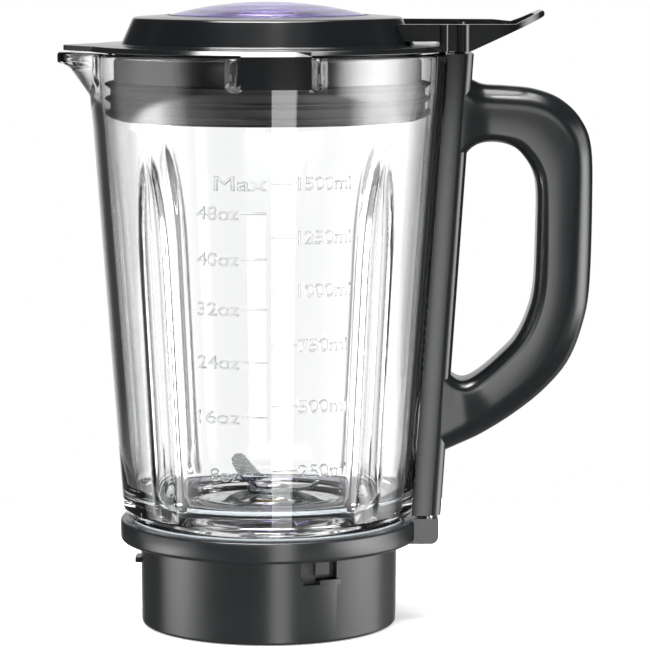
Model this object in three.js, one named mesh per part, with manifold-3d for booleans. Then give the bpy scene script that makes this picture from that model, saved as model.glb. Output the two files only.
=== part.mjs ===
// Glass jug of a countertop blender, with its lid, filler cap, handle, base collar and blade unit.
// Millimetres, +Z up. The heights below are counted from the base collar's bottom rim. The group is then lowered
// so that the origin is on the blade axis, at the centre of the drive coupling's flat lower face.
// +X points to the handle, -X to the spout, and -Y to the front, where the scale is.
import * as THREE from "three";
import { mergeVertices } from "three/addons/utils/BufferGeometryUtils.js";
import Module from "manifold-3d";

const wasm = await Module();
wasm.setup();

// Driving dimensions
const GAP = 0.3;
const FINE = 72; // segments of the glass, a whole number between its ribs
const ROUND = 48; // segments of the other large round pieces
const COARSE = 16; // segments of the small round pieces
const STEP = (2 * Math.PI) / FINE;

const RIM_HEIGHT = 236.2; // top of the glass
const RIM_RADIUS = 73.6;
const SHOULDER_HEIGHT = 206; // where the straight cone of the glass ends
const SHOULDER_RADIUS = 71.5;
const BODY_FOOT_HEIGHT = 76;
const BODY_FOOT_RADIUS = 62.2;
const WALL = 4.5;
const GLASS_BOTTOM = 44;
const GLASS_FLOOR = 52;
const NECK_RADIUS = 46;
const NECK_BOTTOM = 30;
const MOUTH_RADIUS = 36.5; // hole in the glass for the blade unit

const RIB_AZIMUTH = THREE.MathUtils.degToRad(42.5); // from the front and from the back
const RIB_DEPTH = 4.5;
const RIB_LOW = 54;
const RIB_FULL_LOW = 64;
const RIB_FULL_HIGH = 168;
const RIB_HIGH = 194;
const SPOUT_REACH = 12.6;
const SPOUT_START = 219;
const SPOUT_HALF_ANGLE = THREE.MathUtils.degToRad(20);

const SPINE_TILT = Math.atan(0.0669);
const SPINE_TOP = 235.5;
const SPINE_BOTTOM = 45.8;
const SPINE_TOP_X = 83.9;
const SPINE_WALL = 3;
const SPINE_DEPTH = 26; // along Y
const FOOT_BLOCK_TOP = 60;
const GRIP_DEPTH = 26;
const GRIP_ROUNDING = 8;
const GRIP_THICKNESS = 22.7; // in the handle's plane
const GRIP_LINE = [
  [60, 211.4],
  [90, 211.1],
  [104, 210],
  [116.5, 203.6],
  [121.7, 190],
  [121.2, 150],
  [117.8, 126],
  [109, 107.5],
  [95.5, 95.5],
  [80, 88],
  [56, 81],
];

const FLANGE_RADIUS = 61.5;
const FLANGE_TOP = 43.5;
const FLANGE_BOTTOM = 34.8;
const SKIRT_RADIUS = 53.2;
const SKIRT_INNER = 50.3;
const WINDOW_FROM = 285;
const WINDOW_TO = 302;
const LUG_CENTRE = 295.3;
const LUG_HALF = 3.4;
const WINDOW_LOW = 26.4;
const COUPLING_FACE = 4;

const LID_BOTTOM = 236.7;
const LID_FLANGE_TOP = 239;
const LID_FLANGE_RADIUS = 74;
const LID_TOP = 250;
const CAP_RADIUS = 39.8;
const CAP_APEX = 256.5;
const CAP_SKIRT_RADIUS = 31.5;
const PLUG_RADIUS = 63;
const PLUG_BOTTOM = 209;
const ARM_HALF_WIDTH = 20;
const ARM_TOP = 247.7;
const SHAFT_RADIUS = 4;
const THREAD_RADIUS = 3;
const ROD_X_INSET = 5.6; // rod centre, inside the spine's outer face
const GUIDE_RIDGES = [[-14.1, -9.5], [18.7, 22.4]]; // beside the front lid tab; the back ones are turned half round
const HANDLE_HOOKS = [[75, 92], [205, 217]]; // glass lugs that the spine hooks onto, by height
const TAB_SPAN = [-9.1, 18.3];
const SCREW_X = 66.2;
const SCREW_Y = 8.6;
const SPRING_FOOT = 100.4;
const SPRING_LENGTH = 30;
const SPRING_SIDE = 5.2;
const BLADE_THICKNESS = 1.6;
const BLADE_BEND_RADIUS = 11; // distance of the bend line from the axis
const HOUSING_TOP = 49.2;
const LOWER_BLADE_SEAT = 51.2;
const UPPER_BLADE_SEAT = 53.6;
const SHAFT_TOP = 58.4;

const material = (color, roughness, metalness, extra = {}) =>
  new THREE.MeshStandardMaterial({ color, roughness, metalness, ...extra });
const clearGlass = material(0xdfe8e8, 0.05, 0, { transparent: true, opacity: 0.3 });
const anthracite = material(0x3a3d3f, 0.42, 0);
const lidBlack = material(0x1d2023, 0.35, 0);
const collarGrey = material(0x5b5f61, 0.38, 0.5);
const bladeSteel = material(0x9a9c9c, 0.32, 1);
const brightSteel = material(0xb8bbbc, 0.2, 1);
const blackRubber = material(0x17181a, 0.8, 0);
const holderBlack = material(0x232527, 0.5, 0);
const bronze = material(0x9a7448, 0.4, 1);
const springSteel = material(0xa9abad, 0.3, 1);
const purpleClear = material(0x8f86b5, 0.08, 0, { transparent: true, opacity: 0.5 });

// Helpers that turn geometry into solids, and solids into named meshes

function solidFrom(geometry) {
  const bare = geometry.index ? geometry.toNonIndexed() : geometry.clone();
  bare.deleteAttribute("normal");
  bare.deleteAttribute("uv");
  const merged = mergeVertices(bare, 1e-3);
  return new wasm.Manifold(
    new wasm.Mesh({
      numProp: 3,
      vertProperties: merged.attributes.position.array,
      triVerts: new Uint32Array(merged.index.array),
    }),
  );
}

function geometryFrom(solid) {
  const mesh = solid.getMesh();
  return new THREE.BufferGeometry()
    .setAttribute("position", new THREE.BufferAttribute(mesh.vertProperties, 3))
    .setIndex(new THREE.BufferAttribute(mesh.triVerts, 1));
}

const group = new THREE.Group();
group.position.z = -COUPLING_FACE;

function addPart(name, solid, finish) {
  const geometry = geometryFrom(solid);
  geometry.computeVertexNormals();
  const mesh = new THREE.Mesh(geometry, finish);
  mesh.name = name;
  group.add(mesh);
  return mesh;
}

// A closed ring or bar turned round the Z axis from [radius, height] points.
function latheGeometry(profile, segments = ROUND, phase = 0) {
  const points = profile.map(([radius, height]) => new THREE.Vector2(radius, height));
  if (THREE.ShapeUtils.area(points) < 0) points.reverse();
  points.push(points[0].clone());
  return new THREE.LatheGeometry(points, segments, phase).rotateX(Math.PI / 2);
}

const turned = (profile, segments, phase) => solidFrom(latheGeometry(profile, segments, phase));

function ring(inner, outer, low, high, segments = COARSE) {
  return turned([[inner, low], [outer, low], [outer, high], [inner, high]], segments);
}

function post(x, y, radius, low, high, segments = COARSE) {
  const cylinder = new THREE.CylinderGeometry(radius, radius, high - low, segments);
  return solidFrom(cylinder.rotateX(Math.PI / 2).translate(x, y, (low + high) / 2));
}

function block([x0, x1], [y0, y1], [z0, z1]) {
  const box = new THREE.BoxGeometry(x1 - x0, y1 - y0, z1 - z0);
  return solidFrom(box.translate((x0 + x1) / 2, (y0 + y1) / 2, (z0 + z1) / 2));
}

// An outline in the XZ plane, extruded along Y and centred on it, with its edges rounded by `rounding`.
function slab(shape, depth, rounding = 0, curveSegments = 6) {
  const geometry = new THREE.ExtrudeGeometry(shape, {
    depth: depth - 2 * rounding,
    bevelEnabled: rounding > 0,
    bevelThickness: rounding,
    bevelSize: rounding,
    bevelOffset: -rounding,
    bevelSegments: 3,
    curveSegments,
  });
  geometry.rotateX(Math.PI / 2).translate(0, depth / 2 - rounding, 0);
  return solidFrom(geometry);
}

function outline(points) {
  return new THREE.Shape(points.map(([x, z]) => new THREE.Vector2(x, z)));
}

const degrees = (angle) => THREE.MathUtils.degToRad(angle);

// A wedge of a ring between two azimuths, in degrees from +X.
function sector(inner, outer, from, to, low, high) {
  const shape = new THREE.Shape();
  shape.absarc(0, 0, outer, degrees(from), degrees(to), false);
  shape.absarc(0, 0, inner, degrees(to), degrees(from), true);
  const geometry = new THREE.ExtrudeGeometry(shape, { depth: high - low, bevelEnabled: false, curveSegments: 4 });
  return solidFrom(geometry.translate(0, 0, low));
}

// The glass jug

function wallRadius(height) {
  const slope = (SHOULDER_RADIUS - BODY_FOOT_RADIUS) / (SHOULDER_HEIGHT - BODY_FOOT_HEIGHT);
  if (height <= SHOULDER_HEIGHT) return BODY_FOOT_RADIUS + slope * (height - BODY_FOOT_HEIGHT);
  const rise = (height - SHOULDER_HEIGHT) / (RIM_HEIGHT - SHOULDER_HEIGHT);
  return SHOULDER_RADIUS + (RIM_RADIUS - SHOULDER_RADIUS) * Math.sin((rise * Math.PI) / 2);
}

const ramp = (value, from, to) => THREE.MathUtils.clamp((value - from) / (to - from), 0, 1);

// How far a point of the wall is pushed in by the four stirring ribs.
function ribDepth(azimuth, height) {
  const fromRib = Math.abs(Math.asin(Math.abs(Math.sin(azimuth))) - (Math.PI / 2 - RIB_AZIMUTH));
  const along = ramp(height, RIB_LOW, RIB_FULL_LOW) * (1 - ramp(height, RIB_FULL_HIGH, RIB_HIGH) ** 2);
  return RIB_DEPTH * along * Math.max(0, 1 - fromRib / STEP);
}

// How far a point of the wall is drawn out into the spout.
function spoutReach(azimuth, height) {
  const fromSpout = Math.abs(Math.abs(azimuth) - Math.PI);
  if (fromSpout > SPOUT_HALF_ANGLE) return 0;
  const across = Math.cos(((fromSpout / SPOUT_HALF_ANGLE) * Math.PI) / 2) ** 2;
  return SPOUT_REACH * across * ramp(height, SPOUT_START, RIM_HEIGHT - 1);
}

function glassJug() {
  const heights = [RIB_FULL_LOW, 110, RIB_FULL_HIGH, 182, RIB_HIGH, SHOULDER_HEIGHT, SPOUT_START];
  const outer = heights.map((height) => [wallRadius(height), height]);
  const inner = heights.map((height) => [wallRadius(height) - WALL, height]).reverse();
  const profile = [
    [MOUTH_RADIUS, NECK_BOTTOM],
    [NECK_RADIUS, NECK_BOTTOM],
    [NECK_RADIUS, GLASS_BOTTOM],
    [56.5, GLASS_BOTTOM],
    [59.6, 46.2],
    [61, 53],
    ...outer,
    [RIM_RADIUS, RIM_HEIGHT - 0.8],
    [RIM_RADIUS - 0.8, RIM_HEIGHT],
    [RIM_RADIUS - WALL + 0.8, RIM_HEIGHT],
    [RIM_RADIUS - WALL, RIM_HEIGHT - 0.8],
    ...inner,
    [54, 55],
    [48, GLASS_FLOOR],
    [MOUTH_RADIUS, GLASS_FLOOR],
  ];
  const geometry = latheGeometry(profile, FINE, STEP / 2);
  const place = geometry.attributes.position;
  for (let i = 0; i < place.count; i++) {
    const [x, y, z] = [place.getX(i), place.getY(i), place.getZ(i)];
    const radius = Math.hypot(x, y);
    if (radius < MOUTH_RADIUS + 12 && z < GLASS_FLOOR + 1) continue;
    const azimuth = Math.atan2(y, x);
    const moved = (radius - ribDepth(azimuth, z) + spoutReach(azimuth, z)) / radius;
    place.setXYZ(i, x * moved, y * moved, z);
  }
  let glass = solidFrom(geometry);
  for (const [from, to] of GUIDE_RIDGES) {
    for (const side of [-1, 1]) {
      const xs = side < 0 ? [from, to] : [-to, -from];
      const ys = side < 0 ? [-77, -71] : [71, 77];
      glass = glass.add(block(xs, ys, [224, RIM_HEIGHT - 0.4]));
    }
  }
  for (const [low, high] of HANDLE_HOOKS) {
    for (const [near, far] of [[5, 9], [-9, -5]]) {
      const x = wallRadius((low + high) / 2);
      glass = glass.add(block([x - 2.5, x + 3.6], [near, far], [low, high]));
    }
  }
  return glass;
}

// The handle: a channel-shaped spine with a loop grip

const spineX = (height) => SPINE_TOP_X - (SPINE_TOP - height) * Math.tan(SPINE_TILT);

// The grip is a rounded bar, swept along its centre line from the spine's top round to its lower part.
function gripBar() {
  const half = GRIP_THICKNESS / 2;
  const deep = GRIP_DEPTH / 2;
  const section = new THREE.Shape();
  section.moveTo(-deep, -half + GRIP_ROUNDING);
  section.lineTo(-deep, half - GRIP_ROUNDING);
  section.quadraticCurveTo(-deep, half, -deep + GRIP_ROUNDING, half);
  section.lineTo(deep - GRIP_ROUNDING, half);
  section.quadraticCurveTo(deep, half, deep, half - GRIP_ROUNDING);
  section.lineTo(deep, -half + GRIP_ROUNDING);
  section.quadraticCurveTo(deep, -half, deep - GRIP_ROUNDING, -half);
  section.lineTo(-deep + GRIP_ROUNDING, -half);
  section.quadraticCurveTo(-deep, -half, -deep, -half + GRIP_ROUNDING);
  const centreLine = new THREE.CatmullRomCurve3(
    GRIP_LINE.map(([x, z]) => new THREE.Vector3(x, 0, z)),
    false,
    "centripetal",
  );
  const geometry = new THREE.ExtrudeGeometry(section, {
    steps: 30,
    curveSegments: 3,
    bevelEnabled: false,
    extrudePath: centreLine,
  });
  return solidFrom(geometry);
}

function handleShell() {
  const spine = slab(
    outline([
      [spineX(SPINE_BOTTOM) - 16, SPINE_BOTTOM],
      [spineX(SPINE_BOTTOM), SPINE_BOTTOM],
      [spineX(SPINE_TOP - 2), SPINE_TOP - 2],
      [SPINE_TOP_X - 2, SPINE_TOP],
      [SPINE_TOP_X - 16, SPINE_TOP],
    ]),
    SPINE_DEPTH,
    2.5,
  );
  const channel = slab(
    outline([
      [spineX(FOOT_BLOCK_TOP) - 22, FOOT_BLOCK_TOP],
      [spineX(FOOT_BLOCK_TOP) - SPINE_WALL, FOOT_BLOCK_TOP],
      [spineX(231) - SPINE_WALL, 231],
      [spineX(231) - 22, 231],
    ]),
    SPINE_DEPTH - 2 * SPINE_WALL,
  );
  const rodSlot = slab(
    outline([
      [spineX(40) - SPINE_WALL - 5.6, 40],
      [spineX(40) - SPINE_WALL + 0.2, 40],
      [spineX(240) - SPINE_WALL + 0.2, 240],
      [spineX(240) - SPINE_WALL - 5.6, 240],
    ]),
    8,
  );
  const glassClearance = turned(
    [
      [0, 30],
      [NECK_RADIUS, 30],
      [wallRadius(44) + 2 * GAP, 44],
      [wallRadius(SHOULDER_HEIGHT) + GAP, SHOULDER_HEIGHT],
      [wallRadius(220) + GAP, 220],
      [RIM_RADIUS + GAP, 240],
      [0, 240],
    ],
    FINE,
    STEP / 2,
  );
  const springShelf = slab(
    outline([
      [spineX(97) - 12, 96],
      [spineX(97), 96],
      [spineX(97), SPRING_FOOT - 0.9],
      [spineX(97) - 12, SPRING_FOOT - 0.9],
    ]),
    SPINE_DEPTH - SPINE_WALL,
  );
  let shell = gripBar().add(spine).subtract(channel).add(springShelf);
  shell = shell.subtract(glassClearance).subtract(rodSlot);
  for (const side of [-1, 1]) {
    shell = shell.subtract(post(SCREW_X, side * SCREW_Y, 2.1, 40, 58));
  }
  return shell;
}

function handleScrew(side) {
  const shank = post(SCREW_X, side * SCREW_Y, 1.8, 35.5, 57);
  return shank.add(post(SCREW_X, side * SCREW_Y, 3, 34.2, 36.2));
}

// The rod in the spine that the lid presses, and its spring

const spineAxis = new THREE.Vector3(Math.sin(SPINE_TILT), 0, Math.cos(SPINE_TILT));
const rodX = (height) => spineX(height) - ROD_X_INSET;

function interlockRod() {
  const bar = slab(
    outline([
      [rodX(47) - 1.8, 47],
      [rodX(47) + 1.8, 47],
      [rodX(236.2) + 1.8, 236.2],
      [rodX(236.2) - 1.8, 236.2],
    ]),
    5,
  );
  const low = SPRING_FOOT + SPRING_LENGTH + 1.2;
  const collar = slab(
    outline([
      [rodX(low) - 2.2, low],
      [rodX(low) + 2.2, low],
      [rodX(low) + 2.4, low + 3],
      [rodX(low) - 2, low + 3],
    ]),
    14,
  );
  return bar.add(collar);
}

class Helix extends THREE.Curve {
  constructor(radius, low, high, turns) {
    super();
    Object.assign(this, { radius, low, high, turns });
  }
  getPoint(t, target = new THREE.Vector3()) {
    const angle = 2 * Math.PI * this.turns * t;
    const height = this.low + (this.high - this.low) * t;
    return target.set(this.radius * Math.cos(angle), this.radius * Math.sin(angle), height);
  }
}

function interlockSpring() {
  const wire = new THREE.Shape().absarc(0, 0, 0.5, 0, 2 * Math.PI, false);
  const geometry = new THREE.ExtrudeGeometry(wire, {
    steps: 56,
    curveSegments: 3,
    bevelEnabled: false,
    extrudePath: new Helix(1.6, 0, SPRING_LENGTH, 8),
  });
  geometry.rotateY(SPINE_TILT).translate(rodX(SPRING_FOOT), SPRING_SIDE, SPRING_FOOT);
  return solidFrom(geometry);
}

// The base collar: a flange under the glass, a skirt with bayonet windows, and the lug that holds the spine

function baseCollar() {
  let collar = turned([
    [SKIRT_INNER, 0],
    [SKIRT_RADIUS - 1.2, 0],
    [SKIRT_RADIUS - 0.3, 1],
    [SKIRT_RADIUS, FLANGE_BOTTOM],
    [FLANGE_RADIUS - 1.2, FLANGE_BOTTOM],
    [FLANGE_RADIUS, FLANGE_BOTTOM + 1.4],
    [FLANGE_RADIUS, FLANGE_TOP - 0.6],
    [FLANGE_RADIUS - 0.6, FLANGE_TOP],
    [57.5, FLANGE_TOP],
    [57.5, FLANGE_TOP - 1.1],
    [NECK_RADIUS + 0.5, FLANGE_TOP - 1.1],
    [NECK_RADIUS + 0.5, 34.6],
    [SKIRT_INNER, 34.6],
  ]);
  const spineLug = slab(
    outline([[54, 34.2], [67.5, 34.2], [70, 37], [70, 44.6], [54, 44.6]]),
    SPINE_DEPTH,
    1.5,
  );
  const rodFootSlot = block([62.2, 69], [-4, 4], [40, 46]);
  collar = collar.add(spineLug.subtract(post(0, 0, wallRadius(44) + 1, 43, 48, ROUND)).subtract(rodFootSlot));
  collar = collar.subtract(post(0, 0, NECK_RADIUS + 0.5, 30, 50, ROUND));
  collar = collar.subtract(ring(40, 57.5, FLANGE_TOP - 1.1, 50, ROUND));
  for (let i = 0; i < 3; i++) {
    const turn = 120 * i;
    collar = collar.subtract(sector(SKIRT_INNER - 3, 58, WINDOW_FROM + turn, WINDOW_TO + turn, WINDOW_LOW, 34.5));
    collar = collar.subtract(sector(SKIRT_INNER - 3, 58, WINDOW_FROM + 1 + turn, 292.6 + turn, 24.2, 27));
    collar = collar.add(sector(SKIRT_INNER + 0.5, 56, 293 + turn, WINDOW_TO + turn, 24.2, WINDOW_LOW));
  }
  for (const side of [-1, 1]) {
    collar = collar.subtract(post(SCREW_X, side * SCREW_Y, 2.1, 30, 50));
    collar = collar.subtract(post(SCREW_X, side * SCREW_Y, 3.3, 30, 36.5));
  }
  return collar;
}

// The blade unit that is fixed in the collar: holder, gasket, seat plate and bearings

function bladeHolder() {
  let holder = turned([
    [12.3, 13],
    [16, 13],
    [16, 42.6],
    [31.5, 42.6],
    [31.5, 24],
    [43.5, 24],
    [43.5, 9],
    [46.5, 9],
    [46.5, 21],
    [49.9, 22.5],
    [49.9, 34.1],
    [46.9, 34.1],
    [46.9, 28.6],
    [34.5, 28.6],
    [34.5, 45.6],
    [12.3, 45.6],
  ]);
  for (let i = 0; i < 3; i++) {
    const centre = LUG_CENTRE + 120 * i;
    holder = holder.add(sector(48, 52.6, centre - LUG_HALF, centre + LUG_HALF, 27.9, 34.1));
  }
  return holder;
}

const bearingHousing = () =>
  turned([[7.2, 14], [12, 14], [12, 47.9], [16, 47.9], [15, HOUSING_TOP], [7.2, HOUSING_TOP]], COARSE);

// The blade spindle: shaft, washers, blades, nut and drive coupling

const bladeShaft = () =>
  turned(
    [
      [0, 6],
      [SHAFT_RADIUS, 6],
      [SHAFT_RADIUS, 11.9],
      [THREAD_RADIUS, 11.9],
      [THREAD_RADIUS, 12.8],
      [SHAFT_RADIUS, 12.8],
      [SHAFT_RADIUS, 50.2],
      [THREAD_RADIUS, 50.2],
      [THREAD_RADIUS, SHAFT_TOP],
      [0, SHAFT_TOP],
    ],
    COARSE,
  );

// One arm of a blade, bent up by `bend` degrees, with a pointed tip.
function bladeArm(seat, reach, bend, azimuth, width) {
  const slope = degrees(bend);
  const tip = [BLADE_BEND_RADIUS + reach * Math.cos(slope), seat + reach * Math.sin(slope)];
  const across = [-BLADE_THICKNESS * Math.sin(slope), BLADE_THICKNESS * Math.cos(slope)];
  const side = outline([
    [0, seat],
    [BLADE_BEND_RADIUS, seat],
    tip,
    [tip[0] + across[0], tip[1] + across[1]],
    [BLADE_BEND_RADIUS - BLADE_THICKNESS * Math.tan(slope / 2), seat + BLADE_THICKNESS],
    [0, seat + BLADE_THICKNESS],
  ]);
  const strip = slab(side, width);
  const far = BLADE_BEND_RADIUS + reach;
  const plan = new THREE.Shape();
  plan.moveTo(-1, -width / 2);
  plan.lineTo(far + 1, -width / 2);
  plan.lineTo(far + 1, -width / 2 + 1.5);
  plan.quadraticCurveTo(far - 6, width / 2, BLADE_BEND_RADIUS, width / 2);
  plan.lineTo(-1, width / 2);
  const cutter = new THREE.ExtrudeGeometry(plan, { depth: 80, bevelEnabled: false, curveSegments: 5 });
  const trimmed = strip.intersect(solidFrom(cutter.translate(0, 0, seat - 40)));
  return trimmed.rotate([0, 0, azimuth]);
}

function blade(seat, arms) {
  let plate = post(0, 0, 9, seat, seat + BLADE_THICKNESS);
  for (const [reach, bend, azimuth, width] of arms) {
    plate = plate.add(bladeArm(seat, reach, bend, azimuth, width));
  }
  return plate.subtract(post(0, 0, THREAD_RADIUS + GAP, seat - 1, seat + 4));
}

const lowerBlade = () => blade(LOWER_BLADE_SEAT, [[13, -16, 198, 11], [16, -14, 346, 11]]);
const upperBlade = () => blade(UPPER_BLADE_SEAT, [[16, 62, 106, 12], [14, 30, 350, 11]]);

function driveCoupling() {
  let coupling = turned([[0, COUPLING_FACE], [13, COUPLING_FACE], [14, 5], [14, 11.5], [0, 11.5]], COARSE);
  const lobes = 6;
  for (let i = 0; i < lobes; i++) {
    const angle = (i * 2 * Math.PI) / lobes;
    coupling = coupling.subtract(post(14.5 * Math.cos(angle), 14.5 * Math.sin(angle), 3, 2, 13, 12));
  }
  return coupling.subtract(post(0, 0, SHAFT_RADIUS + GAP, 5.7, 20));
}

// The lid: cover with lift arm and side tabs, plug, seal, and filler cap

function liftArm() {
  const side = new THREE.Shape();
  side.moveTo(44, 241);
  side.lineTo(69.5, 241);
  side.lineTo(69.5, LID_BOTTOM);
  side.lineTo(81.5, LID_BOTTOM);
  side.lineTo(112.7, 251.2);
  side.quadraticCurveTo(114, 252.5, 112, 253.4);
  side.lineTo(100.2, ARM_TOP);
  side.lineTo(44, ARM_TOP);
  const loop = block([99, 107], [-11, 11], [230, 260]);
  let arm = slab(side, 2 * ARM_HALF_WIDTH);
  const taper = new THREE.Shape();
  taper.moveTo(40, -ARM_HALF_WIDTH - 1);
  taper.lineTo(94, -ARM_HALF_WIDTH - 1);
  taper.quadraticCurveTo(113, -ARM_HALF_WIDTH + 1, 114, 0);
  taper.quadraticCurveTo(113, ARM_HALF_WIDTH - 1, 94, ARM_HALF_WIDTH + 1);
  taper.lineTo(40, ARM_HALF_WIDTH + 1);
  const plan = new THREE.ExtrudeGeometry(taper, { depth: 40, bevelEnabled: false, curveSegments: 8 });
  arm = arm.intersect(solidFrom(plan.translate(0, 0, 225)));
  arm = arm.subtract(loop);
  for (const side of [-1, 1]) arm = arm.add(post(75.5, side * (ARM_HALF_WIDTH - 5.5), 6, LID_BOTTOM, ARM_TOP));
  return arm.add(post(rodX(238) - 0.2, 0, 5, 236.6, ARM_TOP - 1));
}

function lidCover() {
  const shell = turned([
    [34, 243],
    [42, 243],
    [42, 247.5],
    [52, 247.5],
    [57, 239.8],
    [57, LID_BOTTOM],
    [LID_FLANGE_RADIUS - 0.5, LID_BOTTOM],
    [LID_FLANGE_RADIUS, LID_BOTTOM + 0.6],
    [LID_FLANGE_RADIUS, LID_FLANGE_TOP - 0.4],
    [LID_FLANGE_RADIUS - 0.6, LID_FLANGE_TOP],
    [59.6, LID_FLANGE_TOP],
    [54.9, 249.2],
    [54, LID_TOP],
    [51.5, 251],
    [CAP_RADIUS + 0.8, 251.4],
    [CAP_RADIUS + 0.8, 245.5],
    [34, 245.5],
  ]);
  const tongue = new THREE.Shape();
  tongue.moveTo(-60, -22);
  tongue.lineTo(-71, -19);
  tongue.quadraticCurveTo(-80, -9, -83.1, -4);
  tongue.quadraticCurveTo(-84.2, 0, -83.1, 4);
  tongue.quadraticCurveTo(-80, 9, -71, 19);
  tongue.lineTo(-60, 22);
  const overSpout = new THREE.ExtrudeGeometry(tongue, {
    depth: LID_FLANGE_TOP - LID_BOTTOM - 0.2,
    bevelEnabled: false,
    curveSegments: 4,
  });
  let cover = shell.add(solidFrom(overSpout.translate(0, 0, LID_BOTTOM + 0.1)));
  const inTheCone = turned([[0, 230], [57, 230], [57, 239.8], [52, 247.5], [0, 247.5]]);
  cover = cover.add(liftArm().subtract(inTheCone));
  for (const side of [-1, 1]) {
    const span = side < 0 ? TAB_SPAN : [-TAB_SPAN[1], -TAB_SPAN[0]];
    const tab = block(span, side < 0 ? [-77, -60] : [60, 77], [224.1, 238]);
    cover = cover.add(tab.subtract(post(0, 0, RIM_RADIUS + 0.7, 200, LID_BOTTOM + 0.3, FINE)));
  }
  return cover;
}

const lidPlug = () =>
  turned([
    [34.5, PLUG_BOTTOM],
    [PLUG_RADIUS - 1.5, PLUG_BOTTOM],
    [PLUG_RADIUS, PLUG_BOTTOM + 1.5],
    [PLUG_RADIUS, 236.4],
    [PLUG_RADIUS - 2.5, 236.4],
    [PLUG_RADIUS - 2.5, PLUG_BOTTOM + 2.5],
    [37, PLUG_BOTTOM + 2.5],
    [37, 242.6],
    [34.5, 242.6],
  ]);

function lidSeal() {
  const inner = PLUG_RADIUS + GAP;
  const profile = [[inner, 210.6]];
  for (const fin of [211.7, 217.5, 223.3]) {
    profile.push([64.6, fin - 0.9], [66.6, fin], [64.6, fin + 0.9]);
  }
  profile.push([inner, 224.6]);
  return turned(profile);
}

function fillerCap() {
  const domeRadius = (CAP_RADIUS ** 2 + (CAP_APEX - 251.4) ** 2) / (2 * (CAP_APEX - 251.4));
  const dome = (radius) => CAP_APEX - domeRadius + Math.sqrt(domeRadius ** 2 - radius ** 2);
  return turned([
    [0, dome(0) - 2.5],
    [24, dome(24) - 2.5],
    [CAP_SKIRT_RADIUS - 2.5, dome(CAP_SKIRT_RADIUS - 2.5) - 2.5],
    [CAP_SKIRT_RADIUS - 2.5, 226],
    [CAP_SKIRT_RADIUS, 226],
    [CAP_SKIRT_RADIUS, 248.8],
    [CAP_RADIUS - 0.6, 248.8],
    [CAP_RADIUS, 249.4],
    [CAP_RADIUS, 251.4],
    ...[32, 22, 12].map((radius) => [radius, dome(radius)]),
    [0, CAP_APEX],
  ]);
}

const capSeal = () => ring(CAP_SKIRT_RADIUS + GAP, 36.5, 246, 248.5, ROUND);

// Assembly

addPart("glass_jug", glassJug(), clearGlass);
addPart("handle_shell", handleShell(), anthracite);
addPart("handle_screw_front", handleScrew(-1), brightSteel);
addPart("handle_screw_back", handleScrew(1), brightSteel);
addPart("interlock_rod", interlockRod(), holderBlack);
addPart("interlock_spring", interlockSpring(), springSteel);
addPart("base_collar", baseCollar(), collarGrey);
addPart("jug_gasket", ring(48, 56.5, 42.7, 43.7, ROUND), blackRubber);

addPart("blade_holder", bladeHolder(), holderBlack);
addPart("holder_gasket", ring(36.8, 45.5, 28.9, 29.7, ROUND), blackRubber);
addPart("seat_plate", turned([[12.4, 45.9], [33, 45.9], [33, 47], [17, 47.6], [12.4, 47.6]]), brightSteel);
addPart("bearing_housing", bearingHousing(), brightSteel);
addPart("lower_bearing", ring(4.3, 6.9, 16, 24), bronze);
addPart("upper_bearing", ring(4.3, 6.9, 36, 44), bronze);
addPart("shaft_seal", ring(4.3, 6.9, 44.6, 48.8), blackRubber);

addPart("blade_shaft", bladeShaft(), brightSteel);
addPart("retaining_ring", ring(3.3, 6.5, 12.1, 12.7), springSteel);
addPart("lower_thrust_washer", ring(4.3, 9, 13, 13.7), bronze);
addPart("upper_thrust_washer", ring(4.3, 8, 49.5, 50.2), bronze);
addPart("blade_seat_washer", ring(3.3, 9, 50.4, 51), brightSteel);
addPart("lower_blade", lowerBlade(), bladeSteel);
addPart("blade_spacer", ring(3.3, 7, 53, 53.4), brightSteel);
addPart("upper_blade", upperBlade(), bladeSteel);
addPart("blade_nut", post(0, 0, 6, 55.4, 57.9, 6).subtract(post(0, 0, 3.3, 55, SHAFT_TOP)), brightSteel);
addPart("drive_coupling", driveCoupling(), holderBlack);

addPart("lid_cover", lidCover(), lidBlack);
addPart("lid_plug", lidPlug(), lidBlack);
addPart("lid_seal", lidSeal(), blackRubber);
addPart("filler_cap", fillerCap(), purpleClear);
addPart("cap_seal", capSeal(), blackRubber);

export default group;
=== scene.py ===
import math

import bmesh
import bpy
from mathutils import Matrix, Vector


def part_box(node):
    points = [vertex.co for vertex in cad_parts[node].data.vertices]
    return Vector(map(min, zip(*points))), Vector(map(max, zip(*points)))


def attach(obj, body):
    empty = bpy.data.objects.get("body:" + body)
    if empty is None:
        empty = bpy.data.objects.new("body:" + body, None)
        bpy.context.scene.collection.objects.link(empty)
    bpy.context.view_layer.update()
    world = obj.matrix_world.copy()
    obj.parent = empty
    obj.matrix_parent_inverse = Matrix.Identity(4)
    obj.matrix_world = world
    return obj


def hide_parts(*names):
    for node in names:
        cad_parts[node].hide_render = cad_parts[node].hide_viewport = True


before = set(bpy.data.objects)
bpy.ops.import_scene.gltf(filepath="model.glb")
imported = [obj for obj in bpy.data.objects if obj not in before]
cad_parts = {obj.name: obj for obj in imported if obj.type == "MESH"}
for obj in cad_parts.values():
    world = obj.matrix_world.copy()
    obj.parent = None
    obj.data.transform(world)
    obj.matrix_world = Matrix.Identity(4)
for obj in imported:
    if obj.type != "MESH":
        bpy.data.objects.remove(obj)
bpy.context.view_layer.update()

# Lengths in the outlines below are millimetres, and heights are counted from the collar's bottom rim,
# on which the jug stands. at() turns them into the frame's metres.
MM = 0.001
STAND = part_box("base_collar")[0].z
RIM = (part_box("glass_jug")[1].z - STAND) / MM
WALL = 4.5
RIM_RADIUS = 73.6
SHOULDER = 206.0
SHOULDER_RADIUS = 71.5
FOOT_RADIUS = 60.9
FOOT = 58.0
GLASS_BOTTOM = 44.0
GLASS_FLOOR = 52.0
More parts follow.
